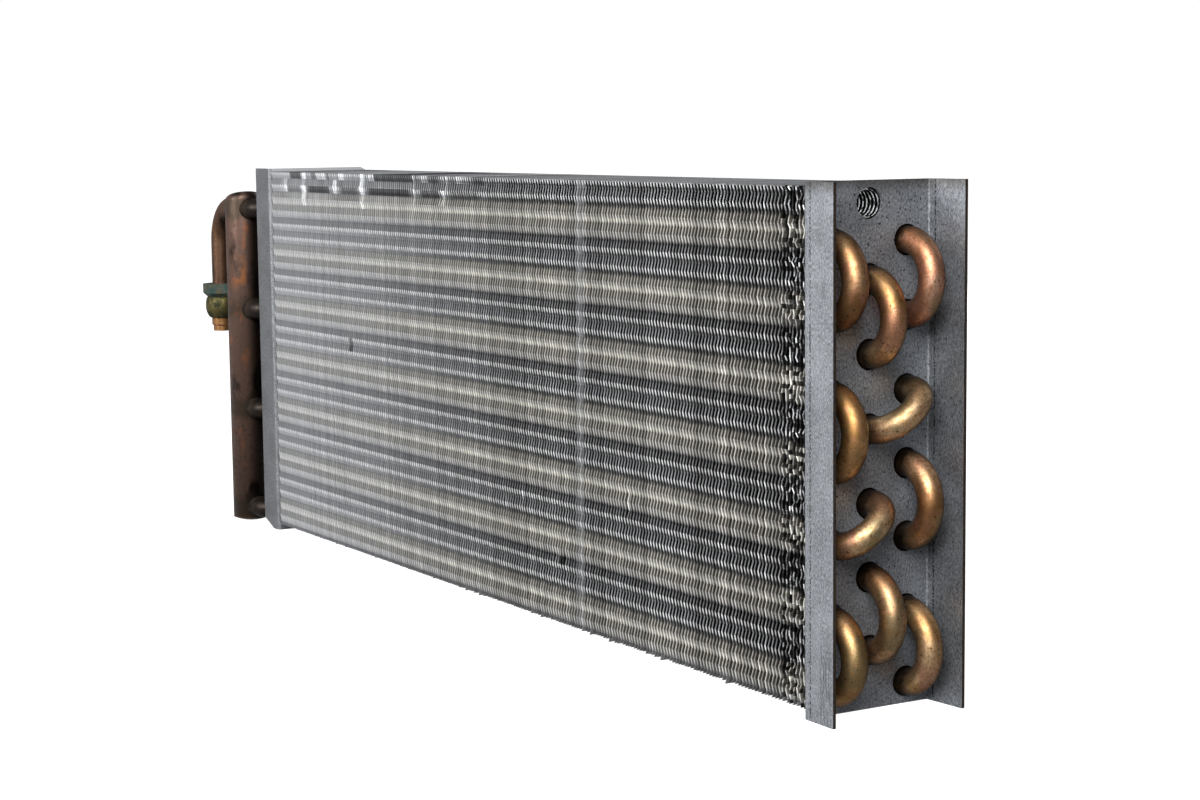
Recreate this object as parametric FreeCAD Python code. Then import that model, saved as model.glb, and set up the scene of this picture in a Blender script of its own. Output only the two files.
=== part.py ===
import FreeCAD, Part
import math
import os

# Evaporator coil: three staggered rows of copper tube through a pack of thin
# aluminium fins, held between two folded sheet end plates. Hairpin bends show
# at the near end (+X). Return bends, two headers and the connections are at
# the far end (-X). The air passes through along Y. All sizes are millimetres.

Vector = FreeCAD.Vector
ALONG_X = Vector(1, 0, 0)
ALONG_Y = Vector(0, 1, 0)
UPWARD = Vector(0, 0, 1)

# Tube pattern. The plates and fins are pierced for every place of it, but no
# tube goes through B 1, the top hole of the middle row.
tube_pitch = 25.4
row_pitch = 15.875
tubes_per_row = 7
row_names = ("A", "B", "C")
edge_distance = 9.525
tube_diameter = 9.52
tube_wall = 0.36
tube_expansion = 0.48

# Fin pack
finned_length = 450.0
fin_pitch = 2.06
fin_thickness = 0.15
fin_collar_wall = 0.3
fin_bore_clearance = 0.05

# End plates
sheet = 1.2
fold_inner_radius = 0.8
plate_overhang = 1.4
plate_hole_clearance = 0.4
near_front_flange = 17.0
near_back_flange = 18.4
near_back_splay_deg = 5.0
far_flange = 17.0
clip_along_flange = 11.0
clip_height = 4.4
far_top_corner_width = 3.6
far_top_corner_drop = 1.8

# Hairpins: expanded legs, bends at the near end, belled mouths at the far end
bend_standoff = 0.7
diagonal_bend_extra = 2.1
neck_length = 1.9
bell_reach = 11.0
bell_depth = 8.0
bell_cone_length = 0.8
bell_wall = 0.36
socket_clearance = 0.08

# Return bends and stubs sit in the belled mouths
socket_gap = 1.0
mouth_standoff = 0.8

# Headers
header_diameter = 19.05
header_wall = 1.2
header_bend_gap = 0.85
header_row_offset = 8.925
header_land_below = 0.25
header_land_above = 0.8
cap_rim = 0.2
cap_dome = 1.9
cap_plug = 0.5
cap_clearance = 0.05
branch_clearance = 0.05
branch_inside = 2.0
stub_straight_before_header = 0.4

# Connection pipe and its fitting
pipe_wall = 0.8
pipe_above_top_stub = 0.85
pipe_bend_radius = 19.0
pipe_straight_at_header = 5.0
nut_top = 120.4
nut_height = 6.8
nut_across_flats = 17.0
nut_chamfer = 1.2
nut_roof = 3.6
thread_diameter = 13.0
thread_clearance = 0.1
body_shoulder = 0.9
body_taper = 0.4
body_height = 11.1
body_nose_gap = 0.1
body_socket_depth = 5.5
swage_rise = 0.74
swage_height = 4.2
tail_free_length = 2.6

# Outlet pipe of the rear header
outlet_diameter = 15.88
outlet_wall = 1.0
outlet_length = 24.0
outlet_height = 84.0
outlet_neck_diameter = 12.7
outlet_neck_cone = 1.2
outlet_neck_straight = 0.5

# Places that follow from the sizes above. X = 0 is the near plate's fin side,
# Y = 0 the outer face of its front flange and Z = 0 the foot of both plates.
tube_radius = tube_diameter / 2
expanded_radius = (tube_diameter + tube_expansion) / 2
header_radius = header_diameter / 2
fin_depth = 2 * edge_distance + (len(row_names) - 1) * row_pitch
fin_height = tubes_per_row * tube_pitch
fin_front = sheet
fin_foot = plate_overhang
plate_depth = fin_depth + 2 * sheet
plate_height = fin_height + 2 * plate_overhang
fin_bore_radius = expanded_radius + fin_bore_clearance
plate_hole_radius = expanded_radius + plate_hole_clearance
far_side = -finned_length
far_outer = far_side - sheet
bend_start = sheet + bend_standoff
mouth = far_outer - bell_reach
socket_radius = tube_radius + socket_clearance
bell_radius = socket_radius + bell_wall
socket_end = mouth + bell_depth - socket_gap
return_arc_start = mouth - mouth_standoff
diagonal_bend_radius = math.hypot(row_pitch, tube_pitch / 2) / 2
return_bend_tip = return_arc_start - diagonal_bend_radius - tube_radius
header_x = return_bend_tip - header_bend_gap - header_radius

# Hairpins, from the top down in each row, as (row, number) pairs
hairpin_ends = (
    (("A", 1), ("A", 2)),
    (("B", 2), ("B", 3)),
    (("C", 1), ("C", 2)),
    (("A", 3), ("A", 4)),
    (("B", 4), ("C", 3)),
    (("A", 5), ("B", 5)),
    (("C", 4), ("C", 5)),
    (("A", 6), ("A", 7)),
    (("B", 6), ("B", 7)),
    (("C", 6), ("C", 7)),
)

# Return bends join the hairpins into four circuits
return_bend_ends = (
    (("A", 2), ("B", 3)),
    (("B", 2), ("C", 1)),
    (("A", 4), ("B", 4)),
    (("B", 5), ("C", 4)),
    (("A", 6), ("B", 6)),
    (("B", 7), ("C", 7)),
)

# Where the circuits start and end
front_stub_ends = (("A", 1), ("A", 3), ("A", 5), ("A", 7))
rear_stub_ends = (("C", 2), ("C", 3), ("C", 5), ("C", 6))


def tube_place(end):
    """Centre of a tube in the plane X = 0, from its row and number."""
    row, number = end
    column = row_names.index(row)
    y = fin_front + edge_distance + column * row_pitch
    stagger = tube_pitch / 2 if column % 2 else 0.0
    lowest = fin_foot + tube_pitch / 4 + stagger
    return Vector(0, y, lowest + (tubes_per_row - number) * tube_pitch)


# Heights at the headers, tied to the highest and lowest branches in them
pipe_height = tube_place(front_stub_ends[0]).z + pipe_above_top_stub
cap_height = cap_rim + cap_dome
header_top = pipe_height + tube_radius + header_land_above + cap_plug + cap_height
header_foot = tube_place(front_stub_ends[-1]).z - tube_radius - header_land_below - cap_plug - cap_height


def every_tube_place():
    """Centres of all the holes of the pattern, the unused one included."""
    numbers = range(1, tubes_per_row + 1)
    return [tube_place((row, number)) for row in row_names for number in numbers]


def face_of(points):
    """Flat face inside a closed outline of straight edges."""
    return Part.Face(Part.makePolygon(points + points[:1]))


def turned_about_x(profile):
    """Solid of revolution about the X axis from (x, radius) pairs."""
    outline = face_of([Vector(x, radius, 0) for x, radius in profile])
    return outline.revolve(Vector(0, 0, 0), ALONG_X, 360)


def turned_about_z(profile):
    """Solid of revolution about the Z axis from (radius, z) pairs."""
    outline = face_of([Vector(radius, 0, z) for radius, z in profile])
    return outline.revolve(Vector(0, 0, 0), UPWARD, 360)


def ring_face(centre, direction, outer_radius, inner_radius):
    """Flat ring, the section of a tube."""
    outer = Part.Wire(Part.makeCircle(outer_radius, centre, direction))
    inner = Part.Wire(Part.makeCircle(inner_radius, centre, direction))
    return Part.makeFace([outer, inner], "Part::FaceMakerBullseye")


def straight_tube(start, run, outer_radius, inner_radius):
    """Straight tube from a point along a run vector."""
    return ring_face(start, run, outer_radius, inner_radius).extrude(run)


def arc_tube(start, direction, centre, angle, outer_radius, inner_radius):
    """Tube bent about a centre; its section starts square to direction."""
    axis = (start - centre).cross(direction)
    return ring_face(start, direction, outer_radius, inner_radius).revolve(centre, axis, angle)


def joined(pieces):
    """One solid from pieces that meet face to face."""
    return pieces[0].multiFuse(pieces[1:]).removeSplitter()


def fold_outline(flange, splay_deg, side_radius, at_y, turn_sign):
    """Points of one side of the sheet, from the web round a fold to the flange's edge.

    The fold's centre stands one outer fold radius from both outer faces.
    turn_sign is 1 for the back fold and -1 for the front one.
    """
    outer_radius = fold_inner_radius + sheet
    centre = Vector(outer_radius, at_y - turn_sign * outer_radius, 0)
    swing = math.radians(90 - splay_deg)

    def on_arc(share):
        angle = math.pi - share * swing
        return centre + Vector(math.cos(angle), turn_sign * math.sin(angle), 0) * side_radius

    arc_end = on_arc(1.0)
    along = Vector(math.sin(math.pi - swing), -turn_sign * math.cos(math.pi - swing), 0)
    run = (flange - (centre + Vector(math.cos(math.pi - swing), 0, 0) * outer_radius).x) / along.x
    return on_arc(0.0), on_arc(0.5), arc_end, arc_end + along * run


def channel(front_flange, back_flange, back_splay_deg):
    """Folded plate that stands up from Z = 0, its web at X = 0 and its flanges towards +X."""
    outer_radius = fold_inner_radius + sheet
    sides = []
    for radius in (outer_radius, fold_inner_radius):
        front = fold_outline(front_flange, 0.0, radius, 0.0, -1)
        back = fold_outline(back_flange, back_splay_deg, radius, plate_depth, 1)
        sides.append((front, back))
    (outer_front, outer_back), (inner_front, inner_back) = sides
    edges = [
        Part.LineSegment(outer_front[3], outer_front[2]),
        Part.Arc(outer_front[2], outer_front[1], outer_front[0]),
        Part.LineSegment(outer_front[0], outer_back[0]),
        Part.Arc(outer_back[0], outer_back[1], outer_back[2]),
        Part.LineSegment(outer_back[2], outer_back[3]),
        Part.LineSegment(outer_back[3], inner_back[3]),
        Part.LineSegment(inner_back[3], inner_back[2]),
        Part.Arc(inner_back[2], inner_back[1], inner_back[0]),
        Part.LineSegment(inner_back[0], inner_front[0]),
        Part.Arc(inner_front[0], inner_front[1], inner_front[2]),
        Part.LineSegment(inner_front[2], inner_front[3]),
        Part.LineSegment(inner_front[3], outer_front[3]),
    ]
    outline = Part.Face(Part.Wire([edge.toShape() for edge in edges]))
    blank = outline.extrude(UPWARD * plate_height)
    holes = [
        Part.makeCylinder(plate_hole_radius, 3 * sheet, place - ALONG_X * sheet, ALONG_X)
        for place in every_tube_place()
    ]
    return blank.cut(holes)


def near_end_plate():
    """Plate on the bends' side, its back flange sprung a little open."""
    return channel(near_front_flange, near_back_flange, near_back_splay_deg)


def far_end_plate():
    """Plate on the headers' side, clipped low on its front flange and high at its back fold."""
    plate = channel(far_flange, far_flange, 0.0)
    low_corner = face_of([
        Vector(far_flange - clip_along_flange, -sheet, 0),
        Vector(far_flange, -sheet, 0),
        Vector(far_flange, -sheet, clip_height),
    ])
    high_corner = face_of([
        Vector(-sheet, plate_depth - far_top_corner_width, plate_height),
        Vector(-sheet, plate_depth, plate_height),
        Vector(-sheet, plate_depth, plate_height - far_top_corner_drop),
    ])
    plate = plate.cut([
        low_corner.extrude(ALONG_Y * 3 * sheet),
        high_corner.extrude(ALONG_X * (far_flange + 2 * sheet)),
    ])
    turned = plate.mirror(Vector(0, 0, 0), ALONG_X)
    turned.translate(ALONG_X * far_side)
    return turned


def fin_pack():
    """Full-size fins that stand out of the closed middle where their collars touch.

    The middle reaches one collar wall past the bores on all four sides, so the
    edges of every fin stand free, with open gaps between them, all the way round.
    """
    reach = fin_bore_radius + fin_collar_wall
    places = every_tube_place()
    count = int(finned_length / fin_pitch)
    spacing = finned_length / count
    first = far_side + (spacing - fin_thickness) / 2
    core_front = min(place.y for place in places) - reach
    core_back = max(place.y for place in places) + reach
    core_foot = min(place.z for place in places) - reach
    core_top = max(place.z for place in places) + reach
    core_length = (count - 1) * spacing + fin_thickness
    core = Part.makeBox(core_length, core_back - core_front, core_top - core_foot,
                        Vector(first, core_front, core_foot))
    fins = [
        Part.makeBox(fin_thickness, fin_depth, fin_height,
                     Vector(first + index * spacing, fin_front, fin_foot))
        for index in range(count)
    ]
    bores = [
        Part.makeCylinder(fin_bore_radius, core_length + 2 * spacing,
                          place + ALONG_X * (first - spacing), ALONG_X)
        for place in places
    ]
    return core.multiFuse(fins).removeSplitter().cut(bores)


def hairpin_leg(bend_x):
    """Leg on the X axis: narrow at the bend, expanded through the fins, belled at the far end."""
    bore = tube_radius - tube_wall
    expanded_bore = expanded_radius - tube_wall
    bell_root = mouth + bell_depth + bell_cone_length
    return turned_about_x([
        (bend_x, bore),
        (bend_x, tube_radius),
        (bend_x - neck_length, expanded_radius),
        (bell_root, expanded_radius),
        (mouth + bell_depth, bell_radius),
        (mouth, bell_radius),
        (mouth, socket_radius),
        (mouth + bell_depth, socket_radius),
        (bell_root, expanded_bore),
        (bend_x - neck_length, expanded_bore),
    ])


def half_turn(first_end, second_end, at_x, direction):
    """U bend between two tube places, bulging along +X or -X from the plane at_x."""
    start = tube_place(first_end) + ALONG_X * at_x
    finish = tube_place(second_end) + ALONG_X * at_x
    centre = (start + finish) / 2
    return arc_tube(start, ALONG_X * direction, centre, 180, tube_radius, tube_radius - tube_wall)


def hairpin(first_end, second_end):
    """One tube: two legs and the bend that joins them at the near end.

    A bend from row to row is tighter and stands out further, so that it ends
    nearly level with the others.
    """
    is_diagonal = first_end[0] != second_end[0]
    bend_x = bend_start + (diagonal_bend_extra if is_diagonal else 0.0)
    legs = []
    for end in (first_end, second_end):
        leg = hairpin_leg(bend_x)
        leg.translate(tube_place(end))
        legs.append(leg)
    return joined([half_turn(first_end, second_end, bend_x, 1)] + legs)


def socket_straight(end):
    """Straight end of a bend or stub, from inside the belled mouth to just outside it."""
    start = tube_place(end) + ALONG_X * socket_end
    run = ALONG_X * (return_arc_start - socket_end)
    return straight_tube(start, run, tube_radius, tube_radius - tube_wall)


def return_bend(first_end, second_end):
    """U bend brazed into two belled mouths at the far end."""
    arc = half_turn(first_end, second_end, return_arc_start, -1)
    return joined([arc, socket_straight(first_end), socket_straight(second_end)])


def stub(end, header_y):
    """S-bent stub from a belled mouth to a header that stands aside from the row."""
    start = tube_place(end) + ALONG_X * return_arc_start
    sideways = header_y - start.y
    straight_start_x = header_x + header_radius + stub_straight_before_header
    forward = start.x - straight_start_x
    swing = 2 * math.atan2(abs(sideways), forward)
    bend_radius = forward / (2 * math.sin(swing))
    side = ALONG_Y * math.copysign(1.0, sideways)
    first_centre = start + side * bend_radius
    bore = tube_radius - tube_wall
    angle = math.degrees(swing)
    first_arc = arc_tube(start, -ALONG_X, first_centre, angle, tube_radius, bore)
    finish = Vector(straight_start_x, header_y, start.z)
    second_centre = finish - side * bend_radius
    second_arc = arc_tube(finish, ALONG_X, second_centre, angle, tube_radius, bore)
    inward = branch_end(tube_radius) - straight_start_x
    last_run = straight_tube(finish, ALONG_X * inward, tube_radius, bore)
    return joined([first_arc, second_arc, socket_straight(end), last_run])


def branch_end(radius):
    """X where a branch of this radius, entering from +X, is clear through the header's wall."""
    inner_radius = header_radius - header_wall
    return header_x + math.sqrt(inner_radius ** 2 - radius ** 2) - branch_inside


def header(axis_y, holes):
    """Upright tube pierced by its branches; holes is a list of (z, radius, direction)."""
    foot = Vector(header_x, axis_y, header_foot + cap_height)
    height = header_top - header_foot - 2 * cap_height
    tube = straight_tube(foot, UPWARD * height, header_radius, header_radius - header_wall)
    drills = [
        Part.makeCylinder(radius + branch_clearance, header_diameter,
                          Vector(header_x, axis_y, z), ALONG_X * direction)
        for z, radius, direction in holes
    ]
    return tube.cut(drills)


def header_cap():
    """Cap with its domed lid up and its plug down, standing on the header's end."""
    plug_radius = header_radius - header_wall - cap_clearance
    dome_radius = (header_radius ** 2 + cap_dome ** 2) / (2 * cap_dome)
    blank = turned_about_z([
        (0.0, -cap_plug),
        (plug_radius, -cap_plug),
        (plug_radius, 0.0),
        (header_radius, 0.0),
        (header_radius, cap_height),
        (0.0, cap_height),
    ])
    return blank.common(Part.makeSphere(dome_radius, UPWARD * (cap_height - dome_radius)))


def header_caps(axis_y):
    """Top and bottom caps of a header."""
    top = header_cap()
    bottom = top.mirror(Vector(0, 0, 0), UPWARD)
    top.translate(Vector(header_x, axis_y, header_top - cap_height))
    bottom.translate(Vector(header_x, axis_y, header_foot + cap_height))
    return top, bottom


def connection_pipe(axis_y):
    """Pipe that leaves the header's outer side and turns down to the fitting."""
    bore = tube_radius - pipe_wall
    wall_end = 2 * header_x - branch_end(tube_radius)
    start = Vector(wall_end, axis_y, pipe_height)
    bend_x = header_x - header_radius - pipe_straight_at_header
    corner = Vector(bend_x, axis_y, pipe_height)
    centre = corner - UPWARD * pipe_bend_radius
    drop_top = centre - ALONG_X * pipe_bend_radius
    drop = UPWARD * (body_nose_top() + body_nose_gap - drop_top.z)
    return joined([
        straight_tube(start, corner - start, tube_radius, bore),
        arc_tube(corner, -ALONG_X, centre, 90, tube_radius, bore),
        straight_tube(drop_top, drop, tube_radius, bore),
    ])


def drop_x():
    """X of the connection pipe's falling leg."""
    return header_x - header_radius - pipe_straight_at_header - pipe_bend_radius


def body_nose_top():
    """Height of the brass body's threaded nose, inside the nut."""
    return nut_top - nut_roof - body_nose_gap


def connection_nut(axis_y):
    """Chamfered hexagon nut with a threaded cavity below and the pipe's bore above."""
    corner_radius = nut_across_flats / math.sqrt(3)
    corners = [
        Vector(corner_radius * math.cos(math.radians(60 * step)),
               corner_radius * math.sin(math.radians(60 * step)), 0)
        for step in range(6)
    ]
    blank = face_of(corners).extrude(UPWARD * nut_height)
    flat_radius = nut_across_flats / 2
    envelope = turned_about_z([
        (0.0, 0.0),
        (corner_radius, 0.0),
        (corner_radius, nut_height - nut_chamfer),
        (flat_radius, nut_height),
        (0.0, nut_height),
    ])
    cavity_radius = thread_diameter / 2 + thread_clearance
    cavity = Part.makeCylinder(cavity_radius, nut_height - nut_roof)
    bore = Part.makeCylinder(tube_radius + branch_clearance, nut_height)
    nut = blank.common(envelope).cut([cavity, bore])
    nut.translate(Vector(drop_x(), axis_y, nut_top - nut_height))
    return nut


def connection_body(axis_y):
    """Turned brass body: threaded nose in the nut, tapering barrel and a socket for the tail."""
    top = nut_top - nut_height
    foot = top - body_height
    shoulder = foot + body_socket_depth
    tail_socket = tube_radius + socket_clearance
    top_radius = thread_diameter / 2 + body_shoulder
    bore = tube_radius - pipe_wall
    body = turned_about_z([
        (tail_socket, foot),
        (top_radius - body_taper, foot),
        (top_radius, top),
        (thread_diameter / 2, top),
        (thread_diameter / 2, body_nose_top()),
        (bore, body_nose_top()),
        (bore, shoulder),
        (tail_socket, shoulder),
    ])
    body.translate(Vector(drop_x(), axis_y, 0))
    return body


def connection_tail(axis_y):
    """Short copper tail with a swaged ring against the body's foot and an open lower end."""
    ring_top = nut_top - nut_height - body_height
    ring_foot = ring_top - swage_height
    end = ring_foot - tail_free_length
    bore = tube_radius - pipe_wall
    tail = turned_about_z([
        (bore, end),
        (tube_radius, end),
        (tube_radius, ring_foot),
        (tube_radius + swage_rise, ring_foot + swage_rise),
        (tube_radius + swage_rise, ring_top),
        (tube_radius, ring_top),
        (tube_radius, ring_top + body_socket_depth - socket_clearance),
        (bore, ring_top + body_socket_depth - socket_clearance),
    ])
    tail.translate(Vector(drop_x(), axis_y, 0))
    return tail


def outlet_pipe(axis_y):
    """Plain pipe out of the rear header's outer side, necked down where it enters the wall."""
    outlet_radius = outlet_diameter / 2
    neck_radius = outlet_neck_diameter / 2
    wall_end = 2 * header_x - branch_end(neck_radius)
    neck_end = header_x - header_radius - outlet_neck_straight
    cone_end = neck_end - outlet_neck_cone
    mouth_end = header_x - header_radius - outlet_length
    pipe = turned_about_x([
        (mouth_end, outlet_radius - outlet_wall),
        (mouth_end, outlet_radius),
        (cone_end, outlet_radius),
        (neck_end, neck_radius),
        (wall_end, neck_radius),
        (wall_end, neck_radius - outlet_wall),
        (neck_end, neck_radius - outlet_wall),
        (cone_end, outlet_radius - outlet_wall),
    ])
    pipe.translate(Vector(0, axis_y, outlet_height))
    return pipe


def front_side(pieces):
    """Front header with its caps, stubs, connection pipe and fitting."""
    axis_y = tube_place(front_stub_ends[0]).y - header_row_offset
    holes = [(tube_place(end).z, tube_radius, 1) for end in front_stub_ends]
    holes.append((pipe_height, tube_radius, -1))
    pieces["front_header"] = header(axis_y, holes)
    pieces["front_header_top_cap"], pieces["front_header_bottom_cap"] = header_caps(axis_y)
    for number, end in enumerate(front_stub_ends, start=1):
        pieces[f"front_stub_{number:02d}"] = stub(end, axis_y)
    pieces["connection_pipe"] = connection_pipe(axis_y)
    pieces["connection_nut"] = connection_nut(axis_y)
    pieces["connection_body"] = connection_body(axis_y)
    pieces["connection_tail"] = connection_tail(axis_y)


def rear_side(pieces):
    """Rear header with its caps, stubs and outlet pipe."""
    axis_y = tube_place(rear_stub_ends[0]).y + header_row_offset
    holes = [(tube_place(end).z, tube_radius, 1) for end in rear_stub_ends]
    holes.append((outlet_height, outlet_neck_diameter / 2, -1))
    pieces["rear_header"] = header(axis_y, holes)
    pieces["rear_header_top_cap"], pieces["rear_header_bottom_cap"] = header_caps(axis_y)
    for number, end in enumerate(rear_stub_ends, start=1):
        pieces[f"rear_stub_{number:02d}"] = stub(end, axis_y)
    pieces["rear_outlet_pipe"] = outlet_pipe(axis_y)


def build():
    """All pieces by name, in the working frame described above."""
    pieces = {
        "end_plate_near": near_end_plate(),
        "end_plate_far": far_end_plate(),
        "fin_pack": fin_pack(),
    }
    for number, ends in enumerate(hairpin_ends, start=1):
        pieces[f"hairpin_{number:02d}"] = hairpin(*ends)
    for number, ends in enumerate(return_bend_ends, start=1):
        pieces[f"return_bend_{number:02d}"] = return_bend(*ends)
    front_side(pieces)
    rear_side(pieces)
    return pieces


def centred(pieces):
    """Moves everything so that the origin is at the middle of the foot of the whole object."""
    box = Part.makeCompound(list(pieces.values())).optimalBoundingBox(False)
    shift = Vector(-box.Center.x, -box.Center.y, -box.ZMin)
    for shape in pieces.values():
        shape.translate(shift)
    return shift


os.makedirs("parts", exist_ok=True)
all_pieces = build()
offset = centred(all_pieces)
print("moved by", round(offset.x, 4), round(offset.y, 4), round(offset.z, 4))
for name, shape in all_pieces.items():
    solids = shape.Solids
    print(name, "solids", len(solids), "valid", shape.isValid(), "volume", round(shape.Volume, 1))
    shape = solids[0] if len(solids) == 1 else shape
    shape.exportStep(f"parts/{name}.step")
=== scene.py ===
import functools
import logging
import math
import random
from dataclasses import dataclass
from enum import Enum

import bmesh
import bpy
from mathutils import Matrix, Vector, noise


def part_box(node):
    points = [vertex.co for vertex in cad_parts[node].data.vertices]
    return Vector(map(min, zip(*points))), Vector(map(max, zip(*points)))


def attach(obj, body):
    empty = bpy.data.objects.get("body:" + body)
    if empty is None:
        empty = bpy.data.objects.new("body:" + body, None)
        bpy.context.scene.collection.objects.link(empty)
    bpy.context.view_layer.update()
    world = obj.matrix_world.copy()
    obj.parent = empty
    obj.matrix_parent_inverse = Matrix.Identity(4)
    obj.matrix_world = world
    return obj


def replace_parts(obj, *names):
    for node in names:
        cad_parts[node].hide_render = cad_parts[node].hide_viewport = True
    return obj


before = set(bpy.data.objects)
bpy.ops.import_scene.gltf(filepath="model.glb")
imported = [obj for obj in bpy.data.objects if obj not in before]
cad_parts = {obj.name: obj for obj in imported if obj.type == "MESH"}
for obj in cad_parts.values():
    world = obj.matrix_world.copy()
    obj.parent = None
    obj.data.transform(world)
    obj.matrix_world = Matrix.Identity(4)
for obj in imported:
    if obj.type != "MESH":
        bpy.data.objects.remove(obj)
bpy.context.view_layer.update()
LOG = logging.getLogger("evaporator_coil")
MM = 0.001
BODY = "root"
FIN_TONE = "fin_tone"

Material = bpy.types.Material
Socket = bpy.types.NodeSocket
BMesh = bmesh.types.BMesh
Value = float | Socket
Colour = str | Socket
Input = float | str | tuple | Vector | Socket
Stops = tuple[tuple[float, str], ...]
Profile = tuple[tuple[float, float], ...]
Finishes = dict[str, Material]


class Row(Enum):
    """The three rows of tubes, counted from the front face."""

    A = 0
    B = 1
    C = 2


class Blend(Enum):
    """Ways to lay one colour over another."""

    MIX = "MIX"
    MULTIPLY = "MULTIPLY"
    LIGHTEN = "LIGHTEN"


@dataclass(frozen=True)
class TubePattern:
    """The plates' hole pattern and the sizes that hang on it, in millimetres from the datum.

    The datum is the near plate's low corner: X = 0 on its fin side, Y = 0 on the outer
    face of its front flange and Z = 0 at its foot.
    """

    tube_pitch: float = 25.4
    row_pitch: float = 15.875
    per_row: int = 7
    edge: float = 9.525
    sheet: float = 1.2
    overhang: float = 1.4
    finned_length: float = 450.0
    tube_radius: float = 4.76
    leg_radius: float = 5.0
    wall: float = 0.36
    bell_radius: float = 5.2
    bell_reach: float = 11.0
    bell_depth: float = 8.0
    bell_cone: float = 0.8
    standoff: float = 0.7
    diagonal_extra: float = 2.1
    header_x: float = -488.3
    header_y: float = 1.8

    @property
    def fin_height(self) -> float:
        """Height of a fin."""
        return self.per_row * self.tube_pitch

    @property
    def fin_depth(self) -> float:
        """Depth of a fin along the air flow."""
        return 2 * self.edge + 2 * self.row_pitch

    @property
    def plate_height(self) -> float:
        """Height of an end plate."""
        return self.fin_height + 2 * self.overhang

    @property
    def far_side(self) -> float:
        """X of the far plate's fin side."""
        return -self.finned_length

    @property
    def mouth(self) -> float:
        """X of the belled tube mouths at the far end."""
        return self.far_side - self.sheet - self.bell_reach

    def hole(self, code: str) -> Vector:
        """Centre of a tube's hole in the plane of the datum.

        Args:
            code: the letter of its row and its number in the row from the top, such as A1.

        Returns:
            The centre, in millimetres from the datum.
        """
        row, number = Row[code[0]], int(code[1:])
        stagger = self.tube_pitch / 2 if row is Row.B else 0.0
        lowest = self.overhang + self.tube_pitch / 4 + stagger
        y = self.sheet + self.edge + row.value * self.row_pitch
        return Vector((0.0, y, lowest + (self.per_row - number) * self.tube_pitch))


PATTERN = TubePattern()
DATUM = Vector(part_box("end_plate_near")[0])
UNUSED_HOLE = PATTERN.hole("B1")


def at(x: float, y: float, z: float) -> Vector:
    """Point of the frame, in metres, from millimetres past the datum."""
    return DATUM + Vector((x, y, z)) * MM


def linear(code: str) -> tuple[float, float, float, float]:
    """Linear colour from an sRGB hex code.

    Args:
        code: a hash and six hex digits.

    Returns:
        Red, green, blue and an alpha of one.
    """
    parts = [int(code[k:k + 2], 16) / 255 for k in (1, 3, 5)]
    light = [c / 12.92 if c <= 0.04045 else ((c + 0.055) / 1.055) ** 2.4 for c in parts]
    return (*light, 1.0)


def feed(target: Socket, value: Input) -> None:
    """Gives an input its value.

    Args:
        target: the input.
        value: an output socket to link, a hex colour or a plain value.
    """
    if isinstance(value, Socket):
        target.id_data.links.new(value, target)
    else:
        target.default_value = linear(value) if isinstance(value, str) else value


def add_node(tree: bpy.types.NodeTree, kind: str, *values: Input, named: dict | None = None,
             output: int | str = 0, stops: Stops = (), **settings: object) -> Socket:
    """Adds one node with its settings, values and links.

    Args:
        tree: the node tree that takes the node.
        kind: its type, such as MapRange, or its type with an operation, such as Math.ADD.
        values: what feeds its first inputs, in their order.
        named: what feeds other inputs, by name or number.
        output: the output that is wanted, by name or number.
        stops: places along a colour ramp with their hex colours.
        settings: attributes of the node itself.

    Returns:
        The wanted output.
    """
    kind, _, operation = kind.partition(".")
    node = tree.nodes.new("ShaderNode" + kind)
    if operation:
        node.operation = operation
    for name, value in settings.items():
        setattr(node, name, value)
    for key, value in (dict(enumerate(values)) | (named or {})).items():
        feed(node.inputs[key], value)
    if stops:
        elements = node.color_ramp.elements
        while len(elements) < len(stops):
            elements.new(0.5)
        for element, (place, code) in zip(elements, stops):
            element.position = place
            element.color = linear(code)
    return node.outputs[output]


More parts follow.
